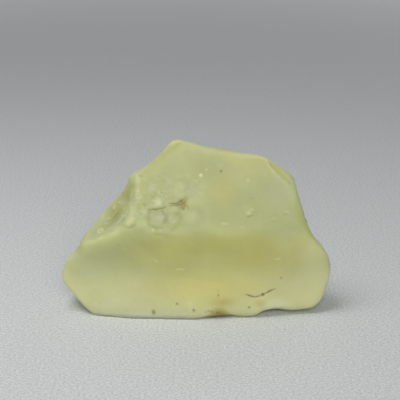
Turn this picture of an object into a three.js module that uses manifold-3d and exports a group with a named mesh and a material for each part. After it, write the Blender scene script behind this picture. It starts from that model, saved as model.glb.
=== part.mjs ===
// Raw Libyan desert glass: one broken, wind-worn piece of natural silica glass, standing on a worn flat.
// Millimetres, +Z up, front towards -Y. The origin is on the surface it stands on, under the middle of the piece.
//
// The piece is described the way it was made. Every side is a fracture face, flat, hollow or domed, and the
// stone is what lies behind all of them. Wind has rounded the edges between the faces and left lumps, pits and
// a slight waviness. A ball of points is shrunk onto that shape and becomes the mesh.

import * as THREE from "three";
import Module from "manifold-3d";
import { mergeVertices } from "three/addons/utils/BufferGeometryUtils.js";

// Driving dimensions
const WIDTH = 42; // left tip to right tip
const HEIGHT = 26; // worn flat to peak
const DEPTH = 18.5; // front foot to back
const CORE = new THREE.Vector3(0, -0.5, 11); // a point well inside, which every part of the surface can see

const EDGE_WEAR = 0.8; // width of the rounding that wind left along an ordinary edge
const FRESH_WEAR = 0.3; // along a fresh edge
const SOFT_WEAR = 1.6; // and along the long ledge across the front

const BALL_DETAIL = 12; // the ball starts with 20 * (12 + 1)^2 triangles
const BEND = 11; // degrees: an edge of the mesh that bends by more is halved
const SHORTEST_EDGES = [0.9, 0.6]; // unless it is shorter than this, in each round of halving

const GLASS_COLOUR = 0xc6c58c;
const GLASS_ROUGHNESS = 0.55;

const radians = THREE.MathUtils.degToRad;

// A fracture face through the point `at`, looking along an azimuth (0 is the front, 90 the right) and a tilt above
// the horizon. across and up are its radii of curvature: positive is hollow, negative is domed.
function face(at, azimuth, tilt, { across = Infinity, up = Infinity, wear = EDGE_WEAR } = {}) {
  const a = radians(azimuth);
  const t = radians(tilt);
  const out = new THREE.Vector3(Math.sin(a) * Math.cos(t), -Math.cos(a) * Math.cos(t), Math.sin(t));
  const side = new THREE.Vector3(Math.cos(a), Math.sin(a), 0);
  const rise = out.clone().cross(side);
  const point = new THREE.Vector3(...at);
  const offset = new THREE.Vector3();
  return {
    wear,
    height(p) {
      offset.subVectors(p, point);
      const s = offset.dot(side);
      const r = offset.dot(rise);
      return offset.dot(out) - (s * s) / (2 * across) - (r * r) / (2 * up);
    },
  };
}

// A chip struck out of an edge: the bite of a ball of this radius.
function chip(centre, radius, wear = FRESH_WEAR) {
  const c = new THREE.Vector3(...centre);
  return { wear, height: (p) => radius - p.distanceTo(c) };
}

// How far the rounding at the meeting of two heights stands off the sharp corner.
function rounding(a, b, wear) {
  const overlap = Math.max(wear - Math.abs(a - b), 0);
  return (overlap * overlap) / (4 * wear);
}

// Two faces that meet in a valley: the stone lies behind either of them.
function valley(first, second, softness) {
  return {
    wear: first.wear,
    height(p) {
      const a = first.height(p);
      const b = second.height(p);
      return Math.min(a, b) - rounding(a, b, softness);
    },
  };
}

const band = face([0, -6.8, 10.6], 0, -9, { across: -75, up: 16, wear: SOFT_WEAR });
const foot = face([0, -7.5, 4.4], 0, 12, { across: -62, up: 60, wear: SOFT_WEAR });

const FACES = [
  // front, seen in the photograph
  valley(band, foot, 1.5), // hollow band under the ledge, and the foot below it
  face([0, -7.4, 13], 2, 33, { across: -60, wear: SOFT_WEAR }), // upper face, leaning back
  face([-12.4, -2.5, 14.8], -53, 41, { across: 30, up: 14, wear: 0.4 }), // pitted left hollow
  face([11.7, 0, 22.4], 82, 50, { across: 16, wear: 0.2 }), // flake off the upper right corner
  // outline
  face([4.3, 1, 24.2], 112, 78, { up: 36, wear: 0.5 }), // hollow crest
  face([-6.35, 0.5, 23.1], -95, 50, { up: 26, wear: FRESH_WEAR }), // upper left shoulder
  face([-15.0, 0, 13.7], -112, 31), // long left slope
  face([-19.2, -4.2, 2.8], -90, -49), // undercut left tip
  face([-21.3, -4.2, 5.4], -92, 5, { wear: 1.6 }), // its end
  face([18.0, -1.6, 11.6], 98, 27, { up: 18 }), // hollow right side
  face([19.9, -4.2, 3.2], 92, -32), // undercut right tip
  face([21.5, -4.2, 6.4], 92, -8, { wear: 1.6 }), // its end
  // back: three large hollow scars that meet in ridges
  face([-8, 4.6, 10], -152, 6, { across: 34, up: 30, wear: 0.5 }),
  face([6.5, 4.8, 13], 168, 20, { across: 30, up: 34, wear: 0.5 }),
  face([13.5, 4.0, 7], 140, -4, { across: 40, up: 26, wear: 0.5 }),
  face([2, 4.4, 23.6], 176, 50, { across: -90 }),
  face([0, 7.1, 3.5], 180, -30, { across: -80 }),
  // underside: a worn flat, and a side that lifts off the surface towards the right tip
  face([0, 0, -2.5], 0, -90),
  face([9, 0, 0], 90, -85.5, { wear: 1.5 }),
];

const CHIPS = [
  chip([3.4, -9.2, -5.55], 6.4), // two bites along the foot, where clay shows
  chip([12.4, -8.8, -4.3], 5.95),
];

// Waviness left by the wind: the way each set of waves runs, how long they are and how high.
const RIPPLES = [
  { way: [0.9, 0.3, 0.4], length: 9.1, height: 0.1 },
  { way: [-0.4, 0.5, 0.8], length: 6.7, height: 0.08 },
  { way: [0.5, 0.8, -0.5], length: 5.3, height: 0.06 },
  { way: [0.7, -0.2, 0.9], length: 3.6, height: 0.04 },
].map(({ way, length, height }) => ({
  height,
  wave: new THREE.Vector3(...way).setLength((2 * Math.PI) / length),
}));

// Height above the stone without its lumps and pits: negative inside, positive outside.
function bareStone(p) {
  let h = -WIDTH;
  for (const f of [...FACES, ...CHIPS]) {
    const b = f.height(p);
    h = Math.max(h, b) + rounding(h, b, f.wear);
  }
  return RIPPLES.reduce((sum, ripple) => sum + ripple.height * Math.sin(p.dot(ripple.wave)), h);
}

// The place on the front seen at x, v: millimetres right and up in a view from 200 mm off, looking 15 degrees
// down. VIEW_CENTRE is what the middle of that view looks at.
const RAY_STEP = 0.05;
const VIEW_DOWN = radians(15);
const VIEW_FROM = 200;
const VIEW_CENTRE = new THREE.Vector3(0.6, 0, 16.6);
const VIEW_WAY = new THREE.Vector3(0, Math.cos(VIEW_DOWN), -Math.sin(VIEW_DOWN));
const EYE = VIEW_CENTRE.clone().addScaledVector(VIEW_WAY, -VIEW_FROM);
function seenAt(x, v) {
  const seen = new THREE.Vector3(x, v * Math.sin(VIEW_DOWN), v * Math.cos(VIEW_DOWN));
  seen.addScaledVector(VIEW_WAY, VIEW_CENTRE.dot(VIEW_WAY));
  const ray = seen.clone().sub(EYE).normalize();
  const p = seen.addScaledVector(ray, -DEPTH);
  while (bareStone(p) > 0 && p.y < DEPTH) p.addScaledVector(ray, RAY_STEP);
  return p;
}

// The place on the surface met by a level ray towards the middle, from an azimuth, at a height.
function seenFrom(azimuth, z) {
  const inward = new THREE.Vector3(-Math.sin(radians(azimuth)), Math.cos(radians(azimuth)), 0);
  const p = inward.clone().multiplyScalar(-WIDTH).setZ(z);
  while (bareStone(p) > 0) p.addScaledVector(inward, RAY_STEP);
  return p;
}

// Lumps (height above zero) and pits (below zero): where they are, radius, height, and how many times longer they
// are from side to side. The front ones are seen in the photograph.
const SPOTS = [
  [seenAt(-5.9, 15.5), 0.9, 0.45, 1.5], // lens
  [seenAt(-5.0, 13.2), 2.4, -0.5, 1.2], // bowl under it
  [seenAt(-6.2, 13.2), 1.0, 0.2, 1.2],
  [seenAt(-10.3, 12.7), 1.1, 0.45, 1.3], // lump on the lower lip of the left hollow
  [seenAt(-0.8, 18.0), 2.4, -0.4, 0.9], // two shallow scars
  [seenAt(0.1, 13.7), 2.2, -0.35, 1],
  [seenAt(-2.5, 15.8), 0.9, -0.35, 1.7], // gouge where the brown crack runs
  [seenAt(-2.2, 14.5), 1.0, -0.3, 1],
  [seenAt(8.3, 14.3), 1.0, 0.3, 1.2],
  [seenAt(-9.1, 18.9), 1.0, 0.3, 1], // nodules down the ridge
  [seenAt(-9.2, 17.0), 0.9, 0.35, 1],
  [seenAt(-10.2, 14.8), 0.9, 0.35, 1],
  [seenAt(-12.8, 14.8), 0.9, 0.3, 1], // lumps and dips in the left hollow
  [seenAt(-14.9, 11.2), 0.9, 0.35, 1],
  [seenAt(-11.2, 16.3), 1.5, -0.35, 1],
  [seenAt(-13.0, 12.9), 1.7, -0.4, 1],
  [seenAt(-10.7, 18.6), 1.1, -0.25, 1],
  [seenAt(-6.6, 8.6), 2.8, -0.25, 1.2], // dips along the hollow band
  [seenAt(0.5, 8.7), 3.0, -0.3, 1.2],
  [seenAt(5.6, 8.4), 2.6, -0.25, 1.2],
  [seenAt(1.9, 5.6), 2.6, 0.3, 1.5],
  [seenFrom(-95, 18.2), 3.2, -0.75, 1], // places where the outline draws in or swells
  [seenFrom(-124, 21.9), 4.6, -0.95, 1],
  [seenAt(-15.2, 12.6), 2.4, 0.3, 1],
  [seenFrom(-79, 10.2), 2.6, -0.65, 1],
  [seenAt(19.2, 7.8), 3.2, 0.45, 1],
  [seenFrom(112, 23.9), 2.6, -0.3, 1],
  [seenFrom(154, 17), 2.4, -0.35, 1], // sides and back
  [seenFrom(170, 19), 1.3, 0.25, 1.6],
  [seenFrom(-166, 9), 2.6, -0.4, 1.2],
  [seenFrom(-148, 13), 1.6, -0.3, 1],
  [seenFrom(-142, 8), 1.2, 0.3, 1.3],
  [seenFrom(128, 8), 1.9, -0.35, 1],
  [seenFrom(98, 12), 1.6, -0.25, 1],
].map(([centre, radius, height, longer]) => ({ centre, radius, height, longer }));

function stone(p) {
  let h = bareStone(p);
  for (const { centre, radius, height, longer } of SPOTS) {
    const near = 1 - Math.hypot((p.x - centre.x) / longer, p.y - centre.y, p.z - centre.z) ** 2 / radius ** 2;
    if (near > 0) h -= height * near * near;
  }
  return h;
}

// Where a ray from the core leaves the stone: stepped to, then closed in on.
const STRIDE = 0.5;
const HALVINGS = 24;
function surfaceAlong(direction) {
  const p = new THREE.Vector3();
  const at = (r) => p.copy(direction).multiplyScalar(r).add(CORE);
  let inside = 0;
  let outside = STRIDE;
  while (outside < WIDTH && stone(at(outside)) <= 0) {
    inside = outside;
    outside += STRIDE;
  }
  for (let i = 0; i < HALVINGS; i++) {
    const middle = (inside + outside) / 2;
    if (stone(at(middle)) > 0) outside = middle;
    else inside = middle;
  }
  return at(inside);
}

// The way the surface looks at a point near it.
const STEP = 0.02;
function outward(p) {
  const q = p.clone();
  const slope = ["x", "y", "z"].map((axis) => {
    q[axis] = p[axis] + STEP;
    const ahead = stone(q);
    q[axis] = p[axis] - STEP;
    const behind = stone(q);
    q[axis] = p[axis];
    return (ahead - behind) / (2 * STEP);
  });
  return new THREE.Vector3(...slope);
}

// Brings a point near the surface onto it.
const SETTLINGS = 3;
function settle(p) {
  for (let i = 0; i < SETTLINGS; i++) {
    const g = outward(p);
    p.addScaledVector(g, -stone(p) / g.lengthSq());
  }
}

// Moves every point towards the middle of its neighbours and back onto the surface.
const HOLD = 0.4; // how much of its own place a point keeps
function even(points, triangles, rounds) {
  const neighbours = points.map(() => new Set());
  for (const [a, b, c] of triangles) {
    neighbours[a].add(b).add(c);
    neighbours[b].add(c).add(a);
    neighbours[c].add(a).add(b);
  }
  for (let round = 0; round < rounds; round++) {
    const moved = points.map((p, i) => {
      const mean = new THREE.Vector3();
      for (const j of neighbours[i]) mean.add(points[j]);
      return mean.divideScalar(neighbours[i].size).lerp(p, HOLD);
    });
    moved.forEach((p, i) => {
      settle(p);
      points[i] = p;
    });
  }
}

// Halves the edges that bend, so that ridges, lumps and pits get small triangles and the faces keep large ones.
function refine(points, triangles, shortest) {
  const count = points.length;
  const looks = points.map((p) => outward(p).normalize());
  const halves = new Map();
  const keyOf = (i, j) => `${Math.min(i, j)} ${Math.max(i, j)}`;
  for (const triangle of triangles) {
    triangle.forEach((i, k) => {
      const j = triangle[(k + 1) % 3];
      if (halves.has(keyOf(i, j)) || points[i].distanceTo(points[j]) < shortest) return;
      if (looks[i].angleTo(looks[j]) < radians(BEND)) return;
      halves.set(keyOf(i, j), points.push(points[i].clone().lerp(points[j], 0.5)) - 1);
    });
  }
  return triangles.flatMap((triangle) => {
    const around = triangle.flatMap((i, k) => [i, halves.get(keyOf(i, triangle[(k + 1) % 3]))]);
    const corners = around.filter((i) => i !== undefined);
    const start = Math.max(corners.findIndex((i) => i >= count), 0);
    const fan = [...corners.slice(start), ...corners.slice(0, start)];
    return fan.slice(2).map((corner, k) => [fan[0], fan[k + 1], corner]);
  });
}

// A ball of points, stretched to the stone's proportions and shrunk onto it.
const FIRST_EVENINGS = 8;
const LATER_EVENINGS = 2;
function stoneMesh() {
  const ball = new THREE.IcosahedronGeometry(1, BALL_DETAIL);
  ball.deleteAttribute("normal");
  ball.deleteAttribute("uv");
  const merged = mergeVertices(ball, 1e-5);
  const position = merged.getAttribute("position");
  const stretch = new THREE.Vector3(WIDTH, DEPTH, HEIGHT);
  const points = [];
  for (let i = 0; i < position.count; i++) {
    const direction = new THREE.Vector3().fromBufferAttribute(position, i).multiply(stretch).normalize();
    points.push(surfaceAlong(direction));
  }
  let triangles = [];
  for (let i = 0; i < merged.index.count; i += 3) triangles.push([...merged.index.array.slice(i, i + 3)]);
  even(points, triangles, FIRST_EVENINGS);
  for (const shortest of SHORTEST_EDGES) {
    triangles = refine(points, triangles, shortest);
    even(points, triangles, LATER_EVENINGS);
  }
  return { points: points.flatMap((p) => p.toArray()), triangles: triangles.flat() };
}

const wasm = await Module();
wasm.setup();

function solidOf({ points, triangles }) {
  return new wasm.Manifold(
    new wasm.Mesh({
      numProp: 3,
      vertProperties: new Float32Array(points),
      triVerts: new Uint32Array(triangles),
    }),
  );
}

function geometryOf(solid) {
  const mesh = solid.getMesh();
  const geometry = new THREE.BufferGeometry();
  geometry.setAttribute("position", new THREE.BufferAttribute(mesh.vertProperties, 3));
  geometry.setIndex(new THREE.BufferAttribute(mesh.triVerts, 1));
  return geometry;
}

// Everything below the surface the piece stands on is worn away.
const SLAB = 20;
const box = new THREE.BoxGeometry(2 * WIDTH, 2 * WIDTH, SLAB).translate(0, 0, -SLAB / 2);
box.deleteAttribute("normal");
box.deleteAttribute("uv");
const slab = mergeVertices(box);
const worn = solidOf(stoneMesh()).subtract(
  solidOf({ points: slab.getAttribute("position").array, triangles: slab.index.array }),
);

const glass = geometryOf(worn);
glass.computeBoundingBox();
const middle = glass.boundingBox.getCenter(new THREE.Vector3());
const size = glass.boundingBox.getSize(new THREE.Vector3());
glass.translate(-middle.x, -middle.y, 0);
glass.scale(WIDTH / size.x, DEPTH / size.y, HEIGHT / size.z);
glass.computeVertexNormals();

const stoneNode = new THREE.Mesh(
  glass,
  new THREE.MeshStandardMaterial({ color: GLASS_COLOUR, roughness: GLASS_ROUGHNESS, metalness: 0 }),
);
stoneNode.name = "desert_glass";

const part = new THREE.Group();
part.add(stoneNode);
export default part;
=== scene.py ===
# %% [markdown]
# A raw piece of Libyan desert glass
#
# The real thing is one splinter of natural glass, a little over 4 cm long. It is pale yellow-green, frosted
# all over by wind-blown sand, and lets light in without being clear. It has a pitted hollow on its left, a
# soft ledge across its middle, a hollowed band under the ledge and a foot with two worn notches.
#
# The solid from the workshop already has those large forms. What is added here is what it can't carry:
# crisp little lumps, rims and cracks, the colour that sits in the glass, painted light and shade, brown clay
# in a crack and a notch, and the frost.

import math
import random

import bmesh
import bpy
import numpy as np
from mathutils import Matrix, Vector, noise
from mathutils.bvhtree import BVHTree


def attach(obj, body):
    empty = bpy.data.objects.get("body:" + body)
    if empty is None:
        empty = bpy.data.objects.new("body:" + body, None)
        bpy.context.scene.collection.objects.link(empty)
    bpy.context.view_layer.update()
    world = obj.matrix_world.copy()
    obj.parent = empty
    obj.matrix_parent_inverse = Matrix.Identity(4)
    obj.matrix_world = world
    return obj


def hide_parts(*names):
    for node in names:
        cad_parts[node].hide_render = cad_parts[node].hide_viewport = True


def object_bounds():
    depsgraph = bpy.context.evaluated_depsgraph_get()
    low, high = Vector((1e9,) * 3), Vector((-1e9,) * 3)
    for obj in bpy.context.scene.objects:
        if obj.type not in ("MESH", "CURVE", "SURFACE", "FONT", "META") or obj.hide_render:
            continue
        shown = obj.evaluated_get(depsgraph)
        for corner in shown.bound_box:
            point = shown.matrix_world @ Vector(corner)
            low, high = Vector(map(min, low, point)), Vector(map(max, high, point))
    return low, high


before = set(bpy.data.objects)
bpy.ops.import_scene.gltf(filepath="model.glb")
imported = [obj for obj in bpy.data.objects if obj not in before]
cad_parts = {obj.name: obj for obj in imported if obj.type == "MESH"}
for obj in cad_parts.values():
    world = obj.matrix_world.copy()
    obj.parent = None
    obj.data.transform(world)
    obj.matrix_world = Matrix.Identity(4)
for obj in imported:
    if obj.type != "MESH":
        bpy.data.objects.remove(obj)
solid_box = [list(corner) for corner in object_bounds()]
scene = bpy.context.scene
MM = 0.001
print("solids:", sorted(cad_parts), "box in mm:", [[round(v / MM, 2) for v in c] for c in solid_box])

# %% [markdown]
# The camera
#
# The photograph was taken from a little above, with a long lens, square on to the stone's front. A camera
# can be aimed by hand or worked out from what it has to show. Here it is worked out: the middle of the
# picture, the angle above the floor, the distance, and half the width that is seen at that distance. The
# same numbers later turn a pixel of the photograph into a place on the glass.

# %% The camera, square on and 15 degrees up
PICTURE = 400  # pixels from side to side
AIM = Vector((0.6, -0.36, 16.65)) * MM
ABOVE_FLOOR = math.radians(15)
DISTANCE = 200 * MM
HALF_WIDTH = 31.35 * MM
SENSOR = 36.0
NEAREST_SEEN, FARTHEST_SEEN = 0.01, 20

backward = Vector((0, -math.cos(ABOVE_FLOOR), math.sin(ABOVE_FLOOR)))
rightward = Vector((1, 0, 0))
upward = backward.cross(rightward)
eye = AIM + backward * DISTANCE

camera = bpy.data.objects.new("camera", bpy.data.cameras.new("camera"))
scene.collection.objects.link(camera)
camera.location = eye
camera.rotation_euler = (math.pi / 2 - ABOVE_FLOOR, 0, 0)
camera.data.sensor_width = SENSOR
camera.data.lens = SENSOR / 2 * DISTANCE / HALF_WIDTH
camera.data.clip_start, camera.data.clip_end = NEAREST_SEEN, FARTHEST_SEEN
camera.data.dof.use_dof = False
scene.camera = camera
print("lens in mm:", round(camera.data.lens, 1), "eye in mm:", [round(v / MM, 1) for v in eye])

# %% [markdown]
# Shader sums
#
# A material in Blender is a sheet of small nodes wired together. Written out one by one they are hard to
# read, so a small class stands for the output of a node, and plain sums on it add the nodes that work them
# out. One method makes every other node: its settings go in first, then the values or wires of its sockets.


# %% A wire that can stand in a sum
class Wire:
    """One output of a shader node. Sums with it add Math nodes, or Vector Math nodes where it is a vector."""

    def __init__(self, sheet, socket):
        self.sheet, self.socket = sheet, socket

    def sum_of(self, operation, first, second):
        vectors = [w for w in (first, second) if isinstance(w, Wire) and w.socket.type == "VECTOR"]
        kind = "ShaderNodeVectorMath" if vectors else "ShaderNodeMath"
        return self.sheet.node(kind, {"operation": operation}, {0: first, 1: second})

    def __add__(self, other):
        return self.sum_of("ADD", self, other)

    __radd__ = __add__

    def __sub__(self, other):
        return self.sum_of("SUBTRACT", self, other)

    def __rsub__(self, other):
        return self.sum_of("SUBTRACT", other, self)

    def __mul__(self, other):
        return self.sum_of("MULTIPLY", self, other)

    __rmul__ = __mul__


print("signs that add a node of sums: + - *")

# %% [markdown]
# A sheet of nodes
#
# A sheet holds the nodes of one material. A few recipes come back again and again, so they are methods of
# the sheet: a blend of two colours, a soft step, clouds, a painted layer, and the place on the piece in
# millimetres.


# %% A sheet of nodes
class Sheet:
    """The nodes of one material."""

    def __init__(self, name):
        self.material = bpy.data.materials.new(name)
        self.material.use_nodes = True
        self.tree = self.material.node_tree
        self.tree.nodes.clear()

    def node(self, kind, settings=None, inputs=None, output=0):
        """A new node with its settings and inputs, given as the wire of one of its outputs."""
        made = self.tree.nodes.new(kind)
        for key, value in (settings or {}).items():
            setattr(made, key, value)
        for key, value in (inputs or {}).items():
            socket = made.inputs[key]
            if isinstance(value, Wire):
                self.tree.links.new(value.socket, socket)
            elif isinstance(value, (int, float)) and socket.type == "VECTOR":
                socket.default_value = (value,) * 3
            elif socket.type == "RGBA":
                socket.default_value = (*value, 1.0)
            else:
                socket.default_value = value
        return Wire(self, made.outputs[output]) if made.outputs else None

    def blend(self, share, first, second):
        """first where share is 0 and second where it is 1, for colours."""
        return self.node("ShaderNodeMix", {"data_type": "RGBA"}, {0: share, 6: first, 7: second}, 2)

    def step(self, value, start, end):
        """0 below start, 1 above end, and a smooth rise between them."""
        return self.node(
            "ShaderNodeMapRange",
            {"interpolation_type": "SMOOTHSTEP"},
            {"Value": value, "From Min": start, "From Max": end},
        )

    def clouds(self, place, size, detail, roughness=0.5):
        """Soft clouds from 0 to 1, of about that size in millimetres."""
        return self.node(
            "ShaderNodeTexNoise",
            {"noise_dimensions": "3D"},
            {"Vector": place, "Scale": 1 / size, "Detail": detail, "Roughness": roughness},
        )

    def painted(self, name):
        """A layer of numbers painted on the points of the mesh."""
        return self.node("ShaderNodeAttribute", {"attribute_name": name}, output="Fac")

    def object_millimetres(self):
        """The place on the piece, in millimetres from its origin."""
        coordinates = self.node("ShaderNodeTexCoord", output="Object")
        return coordinates * (1 / MM)


def linear(red, green, blue):
    """A colour as a picture shows it, 0 to 255, turned into the light that a shader works with."""
    shares = [c / 255 for c in (red, green, blue)]
    return tuple(c / 12.92 if c <= 0.04045 else ((c + 0.055) / 1.055) ** 2.4 for c in shares)


print("a picture's mid grey, as light:", round(linear(128, 128, 128)[0], 3))

# %% [markdown]
# The table top
#
# The stone stands on a plain pale grey sheet that runs up behind it without a join. Such a sheet could be a
# curved wall, but with this camera the view never leaves the floor, so one large flat sheet does it and
# stays right from every side. Its paper has a very fine tooth, which keeps the pale grey from looking like
# fog.

# %% A pale seamless sheet
FLOOR_REACH = 3.0
TOOTH_SIZE, TOOTH_HEIGHT = 0.4, 0.0002
PAPER_DARK, PAPER_LIGHT = linear(186, 189, 189), linear(232, 234, 233)
mesh = bmesh.new()
bmesh.ops.create_grid(mesh, x_segments=2, y_segments=2, size=FLOOR_REACH)
floor = bpy.data.objects.new("floor", bpy.data.meshes.new("floor"))
mesh.to_mesh(floor.data)
mesh.free()
scene.collection.objects.link(floor)

paper = Sheet("pale_paper")
place = paper.object_millimetres()
tooth = paper.step(paper.clouds(place, TOOTH_SIZE, detail=3, roughness=0.75), 0.25, 0.75)
shade = paper.blend(tooth, PAPER_DARK, PAPER_LIGHT)
raised = paper.node("ShaderNodeBump", None, {"Strength": 0.25, "Distance": TOOTH_HEIGHT, "Height": tooth})
surface = paper.node(
    "ShaderNodeBsdfPrincipled",
    None,
    {"Base Color": shade, "Roughness": 0.75, "Normal": raised},
)
paper.node("ShaderNodeOutputMaterial", None, {"Surface": surface})
floor.data.materials.append(paper.material)
print("floor reaches", FLOOR_REACH, "m each way")

# %% [markdown]
# The light
#
# The photograph has soft daylight: faint shadows to both sides of the foot, no sharp highlight, and a
# background that is paler towards its corners. A sky picture could light it, but round lamps are easier to
# steer. One hangs overhead, a large one stands in front like a window, and two brighten the paper behind.


# %% Soft light from above, from in front and on the paper behind
def soft_light(name, place, aim, size, power):
    """A round lamp at a place, turned to its aim. Metres and watts."""
    lamp = bpy.data.lights.new(name, "AREA")
    lamp.shape, lamp.size, lamp.energy = "DISK", size, power
    holder = bpy.data.objects.new(name, lamp)
    holder.location = place
    holder.rotation_euler = (Vector(aim) - Vector(place)).to_track_quat("-Z", "Y").to_euler()
    scene.collection.objects.link(holder)


ROOM_COLOUR, ROOM_STRENGTH = (0.95, 0.97, 1.0, 1), 0.18
LIGHTS = (
    ("overhead", (-0.08, -0.03, 0.21), (0, 0, 0.01), 0.15, 0.24),
    ("window", (0.05, -0.48, 0.22), (0, 0, 0.012), 0.25, 1.38),
    ("backdrop", (-0.33, 0.64, 0.3), (-0.28, 0.62, 0), 0.3, 0.59),
    ("backdrop", (0.33, 0.64, 0.3), (0.28, 0.62, 0), 0.3, 0.7),
)
for name, place, aim, size, power in LIGHTS:
    soft_light(name, place, aim, size, power)
world = bpy.data.worlds.new("room")
world.use_nodes = True
world.node_tree.nodes["Background"].inputs["Color"].default_value = ROOM_COLOUR
world.node_tree.nodes["Background"].inputs["Strength"].default_value = ROOM_STRENGTH
scene.world = world
scene.view_settings.view_transform = "Standard"
print("lights and their watts:", [(light[0], light[-1]) for light in LIGHTS])

# %% [markdown]
# The body of the stone
#
# The solid is a mesh of large flat facets, good for weight and for collision but too coarse for a crack a
# tenth of a millimetre wide. Cutting each facet in four keeps its flats, and they show on glass as faint
# planes. A voxel remesh lays an even skin over it instead, and a few rounds of smoothing melt what is left
# of the facets while the worn edges, which are wider than the smoothing reaches, stay.

# %% An even skin over a copy of the solid
SKIN = 0.25 * MM
SOFTEN = 6
SAME_POINT = 0.001 * MM

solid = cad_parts["desert_glass"]
mesh = bmesh.new()
mesh.from_mesh(solid.data)
bmesh.ops.remove_doubles(mesh, verts=mesh.verts, dist=SAME_POINT)
stone = bpy.data.objects.new("desert_glass_stone", bpy.data.meshes.new("desert_glass_stone"))
mesh.to_mesh(stone.data)
mesh.free()
scene.collection.objects.link(stone)

skin = stone.modifiers.new("even_skin", "REMESH")
skin.mode, skin.voxel_size, skin.use_smooth_shade = "VOXEL", SKIN, True
skinned = bpy.data.meshes.new_from_object(stone.evaluated_get(bpy.context.evaluated_depsgraph_get()))
stone.modifiers.clear()


def smooth(points_to_move, rounds):
    """Moves points of the skin halfway to the middle of their neighbours, so many times."""
    for _ in range(rounds):
        bmesh.ops.smooth_vert(
            mesh, verts=points_to_move, factor=0.5, use_axis_x=True, use_axis_y=True, use_axis_z=True
        )
    mesh.normal_update()


mesh = bmesh.new()
mesh.from_mesh(skinned)
smooth(mesh.verts, SOFTEN)
print("points in the skin:", len(mesh.verts), "faces:", len(mesh.faces))

# %% [markdown]
# From the photograph to the glass
#
# Small marks are placed where the photograph shows them: a ray goes from the camera through a pixel, and
# where it meets the stone is the mark's place. From then on the mark belongs to the glass and is right from
# any side. An image wrapped round the stone would be the quick way, but it smears where the glass turns
# away.

# %% A pixel of the photograph, as a place on the stone
surface_tree = BVHTree.FromBMesh(mesh)


def seen(x, y):
    """The place on the stone at a pixel of the photograph, and how the glass faces there."""
    reach = HALF_WIDTH / DISTANCE / (PICTURE / 2)
    ray = -backward + rightward * (x - PICTURE / 2) * reach + upward * (PICTURE / 2 - y) * reach
    place, facing, _, _ = surface_tree.ray_cast(eye, ray.normalized())
    if place is None:
        raise ValueError(f"pixel {x}, {y} is off the stone")
    return place, facing


PIXEL = 2 * HALF_WIDTH / PICTURE
CREST = (186, 145)
print("one pixel in mm:", round(PIXEL / MM, 3), "crest at:", [round(v / MM, 2) for v in seen(*CREST)[0]])

# %% [markdown]
# A finer skin where it is needed
#
# Most marks are a pixel or two wide, about the distance between two points of the skin. Cutting the whole
# skin finer would cost four times the triangles, so only round places are cut, where the photograph shows
# small marks. The worn tip between the two notches is rounder than the facets of the solid, so it is
# smoothed some more.

# %% Finer skin where the small marks are
FINE_PLACES = {
    "pitted hollow": ((152, 208), 34),
    "left facet": ((120, 215), 24),
    "stained crack": ((186, 205), 24),
    "beads under the crest": ((203, 180), 12),
    "lump on the right": ((250, 205), 14),
    "dark crack": ((262, 292), 16),
}
FINE_EDGE = 0.17 * MM
WORN_TIP, WORN_REACH, WORN_ROUNDS = (246, 313), 9, 14

for pixel, reach in FINE_PLACES.values():
    middle, _ = seen(*pixel)
    near = {v for v in mesh.verts if (v.co - middle).length < reach * PIXEL}
    inside = [e for e in mesh.edges if e.verts[0] in near and e.verts[1] in near]
    edges = [e for e in inside if e.calc_length() > FINE_EDGE]
    bmesh.ops.subdivide_edges(mesh, edges=edges, cuts=1, use_grid_fill=True)
bmesh.ops.triangulate(mesh, faces=mesh.faces)
worn_tip, _ = seen(*WORN_TIP)
smooth([v for v in mesh.verts if (v.co - worn_tip).length < WORN_REACH * PIXEL], WORN_ROUNDS)
print("triangles after the finer places:", len(mesh.faces))

# %% [markdown]
# How thick the glass is
#
# The thicker the glass behind a place, the deeper its colour, as with a glass of tea. Scattering alone
# doesn't show that, because its light turns round within a few millimetres. So rays are sent inwards from
# each point, one straight and four slanting, and what they cross before they leave the stone is kept as a
# layer of numbers. A few rounds of averaging with the neighbours take the grain out of it.

# %% Rays through the stone
DEEPEST = 18 * MM
UNDER_SKIN = 0.3 * MM
AVERAGING = 60
points = np.array([v.co for v in mesh.verts])
facings = np.array([v.normal for v in mesh.verts])
solid_tree = BVHTree.FromPolygons(
    [v.co for v in solid.data.vertices],
    [p.vertices for p in solid.data.polygons],
)


def glass_behind(place, facing):
    """The mean way through the stone from a place, in shares of the deepest."""
    side = facing.orthogonal().normalized()
    other = facing.cross(side)
    start = place - facing * UNDER_SKIN
    slants = (Vector(), side, -side, other, -other)
    crossed = 0.0
    for slant in slants:
        _, _, _, way = solid_tree.ray_cast(start, (slant - facing).normalized(), DEEPEST)
        crossed += DEEPEST if way is None else way
    return crossed / len(slants) / DEEPEST


thick = np.array([glass_behind(v.co, v.normal) for v in mesh.verts])
first, second = np.array([[v.index for v in e.verts] for e in mesh.edges]).T
counts = np.bincount(first, minlength=len(thick)) + np.bincount(second, minlength=len(thick))
for _ in range(AVERAGING):
    from_second = np.bincount(first, thick[second], len(thick))
    from_first = np.bincount(second, thick[first], len(thick))
    thick = (from_second + from_first) / counts
thinnest, middling, thickest = np.percentile(thick, (5, 50, 95)) * DEEPEST / MM
print(f"glass behind the surface: {thinnest:.1f}, {middling:.1f} and {thickest:.1f} mm")
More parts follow.
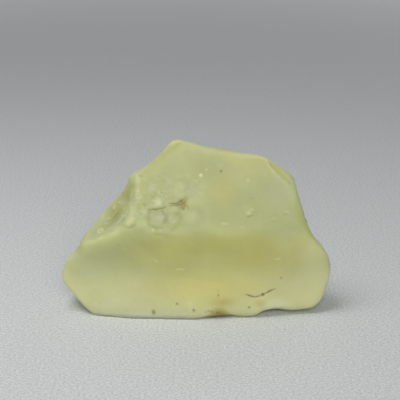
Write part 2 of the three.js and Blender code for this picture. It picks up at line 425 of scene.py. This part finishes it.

# %% [markdown]
# Lumps, dips, rims and cracks
#
# A sculptor would push these in with a brush. A brush stroke is a place, a size and a depth, so each mark
# here is a few numbers: an oval that rises or sinks, or a line that is scratched in. The same stroke can
# paint a layer that the material reads later: pale where the glass is bruised and painted light where it
# catches light, deep where a crack swallows light and painted shade where shade falls, lime and honey where
# the glass is tinted and where a painted glow lies, olive for painted shade, and clay where brown earth has
# stayed. An oval with clean edges looks stamped, so the strokes see every point a little off its place, by
# a noise that is the same on each run.

# %% Strokes round a place
lifts = np.zeros(len(points))
UNEVEN, UNEVEN_SIZE = 0.14 * MM, 0.8 * MM
UNEVEN_SEED = 7
noise.seed_set(UNEVEN_SEED)
uneven = points + UNEVEN * np.array([noise.noise_vector(v.co / UNEVEN_SIZE) for v in mesh.verts])
# Several of these layers paint light, glow and shade as well as the glass's own marks.
PAINTS = ("pale", "deep", "clay", "olive_shade", "honey_and_glow", "lime_and_glow", "pitted")
layers = {name: np.zeros(len(points)) for name in PAINTS}
layers["thick"] = thick


def leave(strength, lift, paints):
    """Lifts the glass by so many millimetres and paints its layers, as strongly as the stroke is there."""
    lifts[:] = lifts + strength * lift * MM
    for name, amount in paints.items():
        layers[name] = np.maximum(layers[name], strength * amount)


def mark(middle, facing, wide, high, lift=0.0, turn=0.0, rim=0.0, reach=2.5, **paints):
    """An oval stroke, its half sizes in pixels. With rim it is a ring, and rim is how wide its line is."""
    along = (rightward - facing * rightward.dot(facing)).normalized()
    up = facing.cross(along)
    if up.dot(upward) < 0:
        up = -up
    cosine, sine = math.cos(math.radians(turn)), math.sin(math.radians(turn))
    along, up = along * cosine + up * sine, up * cosine - along * sine
    away = uneven - np.array(middle)
    across, over = away @ np.array(along) / (wide * PIXEL), away @ np.array(up) / (high * PIXEL)
    depth = np.abs(away @ np.array(facing)) < reach * MM
    spread = np.sqrt(across**2 + over**2)
    if rim:
        strength = np.exp(-(((spread - 1) / rim) ** 2)) * depth
    else:
        strength = np.clip(1 - spread**2, 0, 1) ** 2 * depth
    leave(strength, lift, paints)


def oval(x, y, wide, high, **rest):
    """The same stroke, round a pixel of the photograph."""
    middle, facing = seen(x, y)
    mark(middle, facing, wide, high, **rest)


print("strokes paint these layers:", ", ".join(PAINTS))

# %% [markdown]
# Scratched lines, and a table of strokes
#
# A crack is a stroke along a few pixels: each point of the skin looks for the nearest part of the line, and
# the line thins out towards its ends, as a real crack does. The strokes of one part of the stone then go in
# a table, where each has a name, its place or places, its size in pixels, and what it does. A lift is in
# millimetres.

# %% Strokes along a line, and tables of strokes
FAR_AWAY = 1.0
END_SHARE = 0.4


def line(pixels, width, lift=0.0, **paints):
    """A stroke along pixels of the photograph, its width in pixels, thinner at its ends."""
    places = np.array([seen(*p)[0] for p in pixels])
    nearest = np.full(len(points), FAR_AWAY)
    tapered = np.zeros(len(points))
    lengths = np.linalg.norm(np.diff(places, axis=0), axis=1)
    done = np.concatenate([[0], np.cumsum(lengths)]) / lengths.sum()
    for start, end, first, last in zip(places, places[1:], done, done[1:]):
        share = np.clip((uneven - start) @ (end - start) / ((end - start) @ (end - start)), 0, 1)
        away = np.linalg.norm(uneven - start - share[:, None] * (end - start), axis=1)
        along = first + share * (last - first)
        closer = away < nearest
        nearest[closer], tapered[closer] = away[closer], along[closer]
    thickness = width * PIXEL / 2 * (END_SHARE + (1 - END_SHARE) * np.sin(np.pi * tapered))
    leave(np.exp(-((nearest / thickness) ** 2)), lift, paints)


def make(strokes):
    """Makes a table of strokes. A list of pixels makes a line, and a single pixel an oval."""
    for place, size, settings in strokes.values():
        if isinstance(place, list):
            line(place, size, **settings)
        else:
            oval(*place, *size, **settings)
    print("made:", ", ".join(strokes))


print("points that a stroke can move:", len(points))

# %% [markdown]
# The pitted hollow
#
# Left of the middle, wear has left a lens of glass with a shadow under it and, below that, a shallow bowl
# with soft walls. The walls aren't drawn as rings: each is a broad, faint stroke that sinks the glass and
# darkens it a little, which is how a shallow dish shows in soft light.

# %% The pitted hollow on the left
PITTED_HOLLOW = {
    "lens": ((157.5, 203.5), (9.5, 5.5), dict(lift=0.17, turn=30, pale=0.5)),
    "line under the lens": (
        [(148, 210), (156, 209.5), (163, 208.5), (167, 206)],
        1.8,
        dict(lift=-0.12, deep=0.38),
    ),
    "dark fleck over the lens": ((162, 192.5), (2.2, 1.0), dict(lift=-0.06, deep=0.3)),
    "bead over the lens": ((162, 195), (2, 2), dict(lift=0.06, pale=0.5)),
    "bowl": ((157, 218.5), (8, 8), dict(lift=-0.16, pale=0.55)),
    "left wall of the bowl": ([(149, 226), (147, 218), (150, 211)], 4.5, dict(lift=-0.05, deep=0.16)),
    "lower wall": ([(150, 225), (156, 227.5), (164, 228)], 4.0, dict(lift=-0.07, deep=0.14, clay=0.1)),
    "right wall": ([(161, 211.5), (165.5, 215), (166, 220), (163, 225)], 3.5, dict(lift=-0.07, deep=0.16)),
    "outer wall": (
        [(175, 213), (180, 217), (180, 223), (172, 230)],
        7,
        dict(lift=-0.07, deep=0.1, lime_and_glow=0.25),
    ),
    "swelling between the walls": ((170.5, 218), (3, 6), dict(lift=0.06, pale=0.35)),
    "cream bead": ((153, 230), (2.6, 2.0), dict(lift=0.09, pale=0.8, honey_and_glow=0.4)),
    "brown veil under the bowl": ((160, 234), (6, 2.2), dict(clay=0.2)),
    "bruised glass round it all": ((176, 200), (34, 32), dict(reach=4, pale=0.16)),
}
make(PITTED_HOLLOW)

# %% [markdown]
# The stained crack
#
# A fan of hairline cracks has drawn in brown earth. Drawn as one thick line it looks like a worm, so it is
# seven thin strokes that meet, with a soft brown veil behind them. Pale, scuffed scars lie round it, and a
# row of tiny beads runs up and to the right.

# %% The stained crack and the scars beside it
STAINED_CRACK = {
    "long hair": (
        [(169, 204), (177, 203.4), (180, 201.5), (187, 196.5)],
        1.4,
        dict(lift=-0.08, deep=0.5, clay=0.6),
    ),
    "second hair": ([(171, 206.5), (180, 204.5), (188, 200.5)], 1.3, dict(lift=-0.05, deep=0.4, clay=0.6)),
    "right hair": ([(184, 203), (188, 207), (189, 212)], 1.2, dict(lift=-0.05, deep=0.25, clay=0.6)),
    "falling hair": ([(176, 202), (181, 206), (185, 211)], 1.3, dict(lift=-0.05, deep=0.35, clay=0.6)),
    "steep hair": ([(181, 200), (184, 206), (185, 212)], 1.3, dict(lift=-0.05, deep=0.35, clay=0.6)),
    "rising hair": ([(178, 205.5), (184, 201.5), (188, 198.5)], 1.3, dict(lift=-0.05, deep=0.4, clay=0.5)),
    "lower hair": ([(169, 206), (174, 205), (180, 207)], 1.2, dict(lift=-0.05, deep=0.3, clay=0.4)),
    "brown veil": ((183, 204.5), (7, 8), dict(lift=-0.05, clay=0.6, deep=0.1, turn=-15)),
    "fading stain": ((179, 212), (3, 5), dict(clay=0.25)),
}
SCARS = {
    "scar above the stain": ((183, 187), (7, 7), dict(lift=0.05, pale=0.35)),
    "faint scar": ((188, 176), (5, 4), dict(pale=0.25)),
    "scar below the stain": ((193, 217), (11, 10), dict(lift=0.07, pale=0.4)),
    "tall scar": ((191, 189), (10, 13), dict(lift=0.05, pale=0.25)),
    "rosy patch": ((199.5, 191), (6.5, 8.5), dict(lift=0.05, pale=0.5, clay=0.16)),
    "nick in the patch": ([(197.5, 189), (200.5, 190.5), (203, 189.5)], 1.2, dict(lift=-0.05, deep=0.2)),
    "first bead": ((201.2, 175.5), (2.8, 2.8), dict(lift=0.14, pale=1.0)),
    "second bead": ((206.5, 170), (2.2, 1.6), dict(lift=0.08, pale=0.8)),
    "third bead": ((211, 168.5), (2, 1.3), dict(lift=0.08, pale=0.6)),
    "fourth bead": ((216, 166), (1.6, 1.2), dict(lift=0.05, pale=0.4)),
    "thread of glass": ([(192, 180), (195, 181), (198, 183)], 1.5, dict(lift=0.05, pale=0.5)),
}
make(STAINED_CRACK)
make(SCARS)

# %% [markdown]
# The left facet
#
# The facet that falls away to the left is in painted shade and full of small round beads, left where harder
# glass has stood up to the sand. The beads are alike, so a loop makes them from a place, a size and a height.
# The facet's painted shade, its scratches and the painted highlight on the lip along its right side are
# strokes like the others.

# %% The left facet and its lip
BEADS = (
    ((138.5, 182), 2.0, 0.08),
    ((137.5, 187), 1.7, 0.07),
    ((138, 192), 2.4, 0.12),
    ((136.5, 198), 1.8, 0.07),
    ((136.5, 203.5), 2.8, 0.12),
    ((131, 208.5), 2.4, 0.11),
    ((127.5, 213), 2.0, 0.07),
    ((114.5, 208), 2.8, 0.12),
    ((119, 203), 2.2, 0.09),
    ((109, 218), 2.0, 0.08),
    ((115, 220.5), 2.0, 0.08),
    ((122.5, 216), 2.0, 0.08),
    ((105, 224), 2.2, 0.08),
)
BEAD_STRETCH, BEAD_PALE = 1.15, 0.4
TURN_PER_PIXEL = 7
for (x, y), size, height in BEADS:
    oval(x, y, size * BEAD_STRETCH, size, lift=height, turn=x * TURN_PER_PIXEL, pale=BEAD_PALE)

# Painted shade over the facet and at its foot, painted highlights on the lip, under the ring and on the
# ledge, painted light beside the lip, and a painted highlight and shadow on the wedge; the scratches, the
# ring, the nick and the clay are the glass's own.
LEFT_FACET = {
    "painted shade and tint on the facet": (
        [(133, 186), (126, 198), (117, 212), (106, 228)],
        20,
        dict(clay=0.05, deep=0.12, olive_shade=0.25, lime_and_glow=0.15),
    ),
    "shade along the facet": ([(131, 188), (119, 203), (104, 226)], 16, dict(deep=0.15)),
    "shade at its foot": ((124, 213), (9, 8), dict(deep=0.13)),
    "upper scratch": ([(121, 201), (116, 208), (110, 214)], 1.4, dict(lift=-0.07, deep=0.22)),
    "right scratch": ([(129, 213), (122, 221), (116, 227)], 1.8, dict(lift=-0.08, deep=0.25)),
    "dark scratch": ([(122, 209), (117, 214), (112, 219)], 1.5, dict(lift=-0.09, deep=0.35)),
    "wedge lump": ((129, 222.5), (6.5, 4), dict(lift=0.06, turn=25, pale=0.4)),
    "highlight on the wedge": ((132.5, 219), (3.4, 3.4), dict(lift=0.04, pale=0.35)),
    "shadow of the wedge": ([(126, 227.5), (131, 227.2), (135.5, 224.5)], 1.8, dict(lift=-0.08, deep=0.3)),
    "ring": ((100.5, 231.5), (2.8, 2.6), dict(lift=0.09, rim=0.3, pale=0.8)),
    "hole in the ring": ((100.5, 231.5), (1.4, 1.4), dict(lift=-0.06, deep=0.25)),
    "highlight under the ring": ([(97, 240), (101, 238), (105, 236)], 1.8, dict(lift=0.04, pale=0.45)),
    "thread on the ledge": ([(108, 235), (113, 233.2), (118, 231.6)], 1.5, dict(lift=0.03, pale=0.25)),
    "nick at the top": ([(139, 175), (142, 178)], 1.6, dict(lift=-0.1, deep=0.4)),
    "lip": ([(138, 179), (138, 190), (137, 203), (131, 215)], 4, dict(lift=0.02, pale=0.35, deep=0.07)),
    "pale side of the lip": ((132.5, 193), (3.5, 10), dict(turn=-15, pale=0.45)),
    "brown veil": ((127, 206), (5, 3), dict(clay=0.15)),
    "brown fleck": ((140, 214), (3, 2), dict(clay=0.15)),
}
make(LEFT_FACET)

# %% [markdown]
# The upper right
#
# The right half of the face is calm. It has one dark bubble, a lump with a painted highlight on top and a
# painted shadow under it, a few scuffs and, just above the ledge, short bright threads where the glass is
# stretched.

# %% The upper right of the face
# The tops of the lumps get painted highlights and the lines under them painted shadows, on top of their real
# relief; the edge of the flake gets a painted highlight.
UPPER_RIGHT = {
    "dark bubble": ((221.5, 171.2), (1.7, 1.6), dict(lift=-0.2, deep=1.0)),
    "scuff over the bubble": ((220, 166), (3, 4), dict(lift=0.03, pale=0.25)),
    "small lump": ((248, 180), (3, 2.4), dict(lift=0.09, pale=0.6)),
    "upright grain": ((258, 198), (1.4, 2.2), dict(lift=0.07, pale=0.5)),
    "nick by the grain": ([(249, 198.5), (253, 197.5)], 1.2, dict(lift=-0.05, deep=0.2)),
    "lump": ((248.5, 213), (4.6, 3), dict(lift=0.1, pale=0.4, turn=-10)),
    "highlight on the lump": ((252, 209.5), (3, 2.4), dict(lift=0.08, pale=0.35)),
    "shadow of the lump": ([(245.5, 216), (249, 216.6), (253, 215)], 1.6, dict(lift=-0.06, deep=0.25)),
    "far lump": ((287, 212), (3.2, 2.8), dict(lift=0.1, pale=0.4)),
    "shadow of the far lump": ([(284, 215), (287, 215.5)], 1.4, dict(lift=-0.05, deep=0.15)),
    "right thread": ([(269, 218.5), (276, 218)], 1.8, dict(lift=0.05, pale=0.35)),
    "shadow of the thread": ([(269, 221), (275, 220.6)], 1.4, dict(lift=-0.04, deep=0.12)),
    "bright thread": ([(220.5, 223.2), (228.5, 224)], 2.4, dict(lift=0.07, pale=0.55)),
    "thread on the ledge": ([(238, 227), (247, 227.3)], 1.6, dict(lift=0.04, pale=0.3)),
    "scuff by the peak": ([(191, 147.5), (194, 152)], 1.4, dict(lift=0.04, pale=0.4)),
    "scuff on the crest": ([(207, 150), (209, 155)], 1.4, dict(lift=0.04, pale=0.4)),
    "second scuff": ([(210, 150.5), (214, 155)], 1.4, dict(lift=0.04, pale=0.35)),
    "edge of the flake": ([(280, 172), (285, 174.5), (290, 178)], 2.2, dict(lift=0.05, pale=0.45)),
}
make(UPPER_RIGHT)

# %% [markdown]
# The band and the foot
#
# The band under the ledge is plain but for three bright threads and a nick. The foot has the stone's
# darkest mark, a curved crack with a knot in it, and a scatter of dark specks, each a pit that holds a crumb
# of earth. Specks differ in size and darkness alone, so a loop makes them.

# %% The band and the foot
SPECKS = (
    ((177, 303.7), 1.7, 0.9),
    ((194, 310.3), 1.8, 0.8),
    ((218.5, 295.2), 1.5, 0.6),
    ((249, 307.3), 1.7, 0.8),
    ((281, 278), 1.4, 0.5),
    ((100.5, 303), 1.4, 0.2),
    ((140, 266), 1.2, 0.12),
)
SPECK_LIFT, SPECK_CLAY = -0.05, 0.5
for (x, y), size, dark in SPECKS:
    oval(x, y, size, size, lift=SPECK_LIFT, deep=dark, clay=dark * SPECK_CLAY)

BAND_AND_FOOT = {
    "left thread": ([(153, 259), (156, 260.8), (160, 262)], 1.5, dict(lift=0.05, pale=0.7)),
    "middle thread": ([(174.5, 268), (180, 269), (185, 269.6)], 1.6, dict(lift=0.06, pale=0.75)),
    "right thread": ([(275, 258.6), (281, 258.6)], 1.3, dict(lift=0.05, pale=0.7)),
    "nick under the ledge": ([(117, 243.5), (120, 246.5)], 1.4, dict(lift=-0.05, deep=0.2)),
    "crack": (
        [(244.5, 293.5), (249, 295.7), (254, 296.6), (260, 296.2), (263, 294.7)],
        1.4,
        dict(lift=-0.07, deep=1.0),
    ),
    "rising end of the crack": ([(263, 294.7), (268, 292), (275.5, 288)], 1.5, dict(lift=-0.07, deep=1.0)),
    "knot": ((262.8, 294.8), (2.6, 2.0), dict(lift=-0.08, deep=1.0)),
    "spur under the knot": ([(262.8, 297.5), (263, 300)], 1.0, dict(lift=0.03, pale=0.6)),
    "hair over a speck": ([(218, 289), (218.5, 294)], 0.9, dict(lift=-0.03, deep=0.2)),
    "largest crumb of earth": ((153.6, 312), (2.8, 3.4), dict(lift=-0.1, deep=0.4, clay=0.9)),
    "earth showing through": ((223, 303), (18, 8), dict(clay=0.34)),
    "earth by the crack": ((260, 303.5), (9, 6), dict(clay=0.28)),
    "earth on the left": ((126.5, 310), (4, 3), dict(clay=0.12)),
}
make(BAND_AND_FOOT)

# %% [markdown]
# Edges, and clay in a notch
#
# Where the glass is thin it glows lime green, so the flaked corner, the right side and the slopes get a rim
# of painted glow in that colour, and the upper left rim some painted shade. The ridge of the flake gets a
# painted highlight and its hollow painted shade, and the foot's lower edge and left end get painted light.
# The notches lie under the foot, where no pixel shows their depth. Their strokes are balls in space: one
# fills the first notch with a smear of brown clay and painted shade, and one paints glow into the second.

# %% The flaked corner, the rims, the foot's edge and the two notches
# Painted highlight on the flake's ridge and painted shade in its hollow, painted glow on the thin rims and
# painted shade on the upper left rim.
EDGES = {
    "ridge of the flake": (
        [(264, 158), (269, 167), (276, 174.5), (283, 180.5), (291, 188)],
        2.0,
        dict(lift=0.12, pale=0.55),
    ),
    "hollow of the flake": (
        [(269, 162), (275, 169), (283, 176), (291, 183.5)],
        5,
        dict(lift=-0.1, olive_shade=0.3, lime_and_glow=0.4, deep=0.08),
    ),
    "right rim": (
        [(293, 186), (295, 198), (298, 212), (303.5, 224), (312, 237), (322, 250)],
        5,
        dict(lime_and_glow=0.6),
    ),
    "upper left rim": (
        [(140, 176), (150, 167.5), (160, 158.5), (170, 149.5), (180, 143.5)],
        9,
        dict(lime_and_glow=0.2, deep=0.16),
    ),
    "lower left rim": ([(98, 237), (112, 224), (122, 208), (133, 186)], 6, dict(lime_and_glow=0.3)),
    # brown clay along the first notch, darkened with painted shade
    "clay along the first notch": (
        [(204, 312), (210, 311), (220, 310.7), (230, 311.5)],
        1.8,
        dict(clay=0.8, deep=0.5),
    ),
    # painted light along the foot's lower edge and over its left end
    "pale edge of the foot": (
        [(98, 311), (108, 312.5), (124, 313.5), (150, 314.5), (196, 314)],
        4,
        dict(pale=0.7),
    ),
    "painted light on the foot": ((106, 307), (18, 9), dict(reach=4, pale=0.5)),
}
make(EDGES)

# brown clay with painted shade in the first notch, and painted glow in the second
NOTCHES = {
    "clay in the first": ((3.26, -6.8, 0), 2.7, 0.6, {"clay": 1.0, "deep": 0.55}),
    "painted glow in the second": ((12.4, -6.6, 0), 3.2, 0.0, {"pale": 1.0}),
}
BALL_STRENGTH = 1.4
for middle, size, lift, paints in NOTCHES.values():
    away = np.linalg.norm(points - np.array(middle) * MM, axis=1) / (size * MM)
    leave(np.clip(BALL_STRENGTH - BALL_STRENGTH * away**2, 0, 1), lift, paints)
print("made:", ", ".join(NOTCHES))

# %% [markdown]
# Broad colour, painted shade and painted light
#
# The hollow band under the ledge gets painted shade in deep olive, with a firm upper edge and a soft lower
# one, which rises in a low hill at the middle. Ovals can't give that edge, so each point's pixel is worked
# out, and two curves say where the band starts and ends. Broad, faint ovals then paint glow with a honey
# tint on the foot and painted light on the corners.


# %% The painted shade of the hollow band
def rise(value, start, end):
    """0 below start, 1 above end, and a smooth rise between them."""
    share = np.clip((value - start) / (end - start), 0, 1)
    return share * share * (3 - 2 * share)


LEDGE = ([140, 150, 180, 220, 260, 285], [233, 232.5, 232, 230.5, 230.5, 236])
HILL = ([140, 165, 185, 192, 205, 225, 240, 262], [263, 266, 266, 262, 259, 263, 266, 267])
BAND_LEFT, BAND_RIGHT = (95, 175), (255, 320)
BAND_SHADE = 0.52

sight = points - np.array(eye)
spread = PICTURE / 2 * DISTANCE / HALF_WIDTH / -(sight @ np.array(backward))
across = PICTURE / 2 + sight @ np.array(rightward) * spread
down = PICTURE / 2 - sight @ np.array(upward) * spread
front = rise(-facings[:, 1], 0, 0.3)
ledge, hill = np.interp(across, *LEDGE), np.interp(across, *HILL)
firm_top = 0.4 * rise(down, ledge - 2, ledge + 3) + 0.6 * rise(down, ledge, ledge + 14)
hollow = firm_top * (1 - rise(down, hill - 8, hill + 16))
# painted shade: the band under the ledge is darkened in olive where shade falls under the ledge
band = BAND_SHADE * hollow * front * rise(across, *BAND_LEFT) * (1 - rise(across, *BAND_RIGHT))
layers["olive_shade"] = np.maximum(layers["olive_shade"], band)
print("points in the band:", int((band > BAND_SHADE / 2).sum()))

# %% Broad ovals of painted light, painted glow and tint, and where the glass is pitted
# Painted light on the lower left, the two ends and the upper right, painted glow with a honey tint on the
# foot, a honey tint on the face, and the pitted patches.
BROAD_COLOUR = {
    "pale lower left": ((116, 301), (22, 14), dict(reach=4, pale=0.42)),
    "honey foot": ((208, 288), (84, 30), dict(reach=4, honey_and_glow=0.58)),
    "honey on the face": ((222, 195), (16, 34), dict(reach=4, honey_and_glow=0.2)),
    "pale right end": ((316, 264), (28, 34), dict(reach=4, pale=0.42)),
    "pale left end": ((90, 268), (30, 26), dict(reach=4, pale=0.2)),
    "pale upper right": ((283, 190), (36, 36), dict(reach=4, pale=0.34)),
    "pitted hollow": ((160, 202), (48, 42), dict(reach=4, pitted=1.0)),
    "pitted facet": ((122, 212), (28, 36), dict(reach=4, pitted=1.0)),
}
BACK_PATCH, BACK_PITTED = 7 * MM, 0.9
make(BROAD_COLOUR)
patches = np.array([noise.noise(v.co / BACK_PATCH) for v in mesh.verts])
back = BACK_PITTED * rise(patches, 0.0, 0.35) * rise(facings[:, 1], -0.2, 0.3)
layers["pitted"] = np.maximum(layers["pitted"], back)

# %% [markdown]
# Pits and ripples
#
# Wind-blown sand leaves ripples all over and pits where it hits hardest. Both could be a bump in the
# material, but the pits show in the outline, so they are real. Ripples are fractal noise, and a pit is the
# space round a cell's point in a Voronoi pattern, deeper where the glass is painted as pitted. The sides and
# the back get a scatter of larger marks, drawn by a seeded chooser.

# %% Small pits and ripples
PIT, RIPPLE = 1.1 * MM, 2.4 * MM
PIT_RADIUS = 0.5
RIPPLE_HEIGHT, PIT_DEPTH, PITTED_DEPTH = 0.045, 0.02, 0.13
nearest = np.array([noise.voronoi(v.co / PIT)[0][0] for v in mesh.verts])
ripples = np.array([noise.fractal(v.co / RIPPLE, 1.0, 2.0, 3) for v in mesh.verts])
pits = np.clip(1 - (nearest / PIT_RADIUS) ** 2, 0, 1) * rise(ripples, -0.1, 0.3)
lifts += (RIPPLE_HEIGHT * ripples - (PIT_DEPTH + PITTED_DEPTH * layers["pitted"]) * pits) * MM
print("points in a pit:", int((pits > 0.5).sum()))

# %% Larger marks on the sides and the back
MARKS, MARK_SEED = 160, 29
FRONT_LIMIT = -0.1
MARK_SIZES, MARK_STRETCH, MARK_LIFTS, MARK_PALE = (1.5, 5), (1, 1.8), (-0.25, -0.15, 0.12), (0, 0.35)
chooser = random.Random(MARK_SEED)
made = 0
for _ in range(MARKS):
    chosen = chooser.randrange(len(points))
    if facings[chosen, 1] > FRONT_LIMIT:
        size = chooser.uniform(*MARK_SIZES)
        mark(
            Vector(points[chosen]),
            Vector(facings[chosen]),
            size * chooser.uniform(*MARK_STRETCH),
            size,
            lift=chooser.choice(MARK_LIFTS),
            turn=chooser.uniform(0, 180),
            pale=chooser.uniform(*MARK_PALE),
        )
        made += 1
print("marks on the sides and the back:", made)

# %% [markdown]
# Moving the glass
#
# Every stroke so far has only added to a list of lifts. Now each point moves once, along the way it faced
# at the start, so strokes that overlap can't fold the skin. A small swell makes up for what the smoothing
# took off, and the box of the solid is the limit, because the stone's size must stay the workshop's. The
# painted layers go on the mesh as attributes, which the material can read.

# %% Moving the glass
SWELL = 0.1 * MM
lowest, highest = (np.array(corner) for corner in solid_box)
moved = np.clip(points + facings * (lifts + SWELL)[:, None], lowest, highest)
for vertex, place in zip(mesh.verts, moved):
    vertex.co = place
stone.data.clear_geometry()
mesh.to_mesh(stone.data)
mesh.free()
for name, amounts in layers.items():
    layer = stone.data.attributes.new(name, "FLOAT", "POINT")
    layer.data.foreach_set("value", amounts.astype(np.float32))
for polygon in stone.data.polygons:
    polygon.use_smooth = True
print("triangles in the stone:", len(stone.data.polygons))

# %% [markdown]
# The glass
#
# Frosted glass is three things at once: light that soaks in, wanders between countless tiny bubbles and
# comes out tinted somewhere else, a grey-white bloom where the sand-blasted skin throws light back, and a
# little colour that drifts through the stone. Clear glass with fog inside would be the textbook way, but it
# needs thousands of samples to settle. Subsurface scattering gives the wandering light at once, and a
# rough, uneven skin gives the bloom.
#
# The tints go on one over another, from the broadest to the smallest, and some are painted light, glow
# and shade. Each is a colour and the share of it that shows, and the painted layers say where.

# %% The colours of the glass
THIN, THICK = linear(170, 178, 147), linear(180, 184, 134)
WARM, FOOT_PAINTED_LIGHT, MOTTLE = linear(196, 192, 134), linear(206, 205, 155), linear(194, 200, 150)
BLOOM, GREY_GREEN = linear(206, 212, 180), linear(160, 160, 108)
HONEY_AND_GLOW, LIME_AND_GLOW, OLIVE_SHADE = linear(208, 200, 112), linear(170, 184, 96), linear(190, 185, 100)
PALE_AND_PAINTED_LIGHT, CLAY, DARK_AND_SHADE = linear(216, 218, 180), linear(166, 140, 46), linear(84, 80, 30)
# how fast the warm tint and the painted light grow towards the right
WARM_TINT_AND_PAINTED_LIGHT_TO_THE_RIGHT = 0.012
FOOT_HEIGHTS = (4, 9)
DRIFT_SIZE, MOTTLE_SIZE, BLOOM_SIZE, HOLLOW_SIZE = 11, 2.6, 1.3, 1.0

glass = Sheet("frosted_desert_glass")
place = glass.object_millimetres()
to_the_right = glass.node("ShaderNodeSeparateXYZ", None, {0: place})
height = glass.node("ShaderNodeSeparateXYZ", None, {0: place}, output="Z")
pitted, pale = glass.painted("pitted"), glass.painted("pale")
drift = glass.clouds(place, DRIFT_SIZE, detail=1)
mottle = glass.step(glass.clouds(place, MOTTLE_SIZE, detail=2), 0.35, 0.8)

through = glass.step(glass.painted("thick"), 0.25, 0.75)
# a warm tint that drifts at random, and painted light that grows towards the right side
warm = glass.step(drift + to_the_right * WARM_TINT_AND_PAINTED_LIGHT_TO_THE_RIGHT, 0.42, 0.72)
above_foot = glass.step(height, *FOOT_HEIGHTS)
bloom = glass.step(glass.clouds(place, BLOOM_SIZE, detail=3), 0.4, 0.66) * pitted
hollows = glass.step(glass.clouds(place, HOLLOW_SIZE, detail=3), 0.62, 0.42) * pitted

colour = glass.blend(through, THIN, THICK)
for share, tint in (
    (warm * 0.6, WARM),
    # painted light: the glass gets lighter towards the bottom, over the foot
    ((1 - above_foot) * 0.85, FOOT_PAINTED_LIGHT),
    (mottle * 0.22, MOTTLE),
    (bloom * 0.45, BLOOM),
    (hollows * 0.25, GREY_GREEN),
    # a honey tint, and painted glow on the foot
    (glass.painted("honey_and_glow"), HONEY_AND_GLOW),
    # a lime tint, and painted glow on the thin rims
    (glass.painted("lime_and_glow"), LIME_AND_GLOW),
    # painted shade in olive: the band under the ledge, the left facet and the hollow of the flake
    (glass.painted("olive_shade"), OLIVE_SHADE),
    # pale bruised glass, and painted highlights, painted glow and painted bounce light
    (pale * 0.7, PALE_AND_PAINTED_LIGHT),
    (glass.painted("clay"), CLAY),
    # dark cracks and specks, and painted shade and painted shadows
    (glass.painted("deep") * 0.9, DARK_AND_SHADE),
):
    colour = glass.blend(share, colour, tint)
print("nodes that make the colour:", len(glass.tree.nodes))

# %% The frosted skin and the light inside
FROST_SIZE, FROST_HEIGHT = 0.22, 0.00005
DIMPLE_SIZE, DIMPLE_HEIGHT = 0.9, 0.0002
LIGHT_REACH, REACH_BY_COLOUR = 0.006, (1.0, 0.95, 0.45)
GLASS_IOR, SOFT_SHINE = 1.46, 0.25
SATIN, FROST_ROUGHENS, PALE_SMOOTHS = 0.44, 0.16, 0.12
frost = glass.clouds(place, FROST_SIZE, detail=4, roughness=0.65)
dimples = glass.clouds(place, DIMPLE_SIZE, detail=2)
frosted = glass.node("ShaderNodeBump", None, {"Strength": 0.35, "Distance": FROST_HEIGHT, "Height": frost})
worn = glass.node(
    "ShaderNodeBump",
    None,
    {"Strength": 0.3, "Distance": DIMPLE_HEIGHT, "Height": dimples * (1 + 2 * pitted), "Normal": frosted},
)
roughness = SATIN + frost * FROST_ROUGHENS - pale * PALE_SMOOTHS
surface = glass.node(
    "ShaderNodeBsdfPrincipled",
    {"subsurface_method": "RANDOM_WALK"},
    {
        "Base Color": colour,
        "Roughness": roughness,
        "IOR": GLASS_IOR,
        "Specular IOR Level": SOFT_SHINE,
        "Subsurface Weight": 1.0,
        "Subsurface Radius": REACH_BY_COLOUR,
        "Subsurface Scale": LIGHT_REACH,
        "Normal": worn,
    },
)
glass.node("ShaderNodeOutputMaterial", None, {"Surface": surface})
stone.data.materials.append(glass.material)
print("nodes in the glass:", len(glass.tree.nodes))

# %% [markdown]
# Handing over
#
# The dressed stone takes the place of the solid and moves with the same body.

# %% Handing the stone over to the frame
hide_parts("desert_glass")
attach(stone, "root")
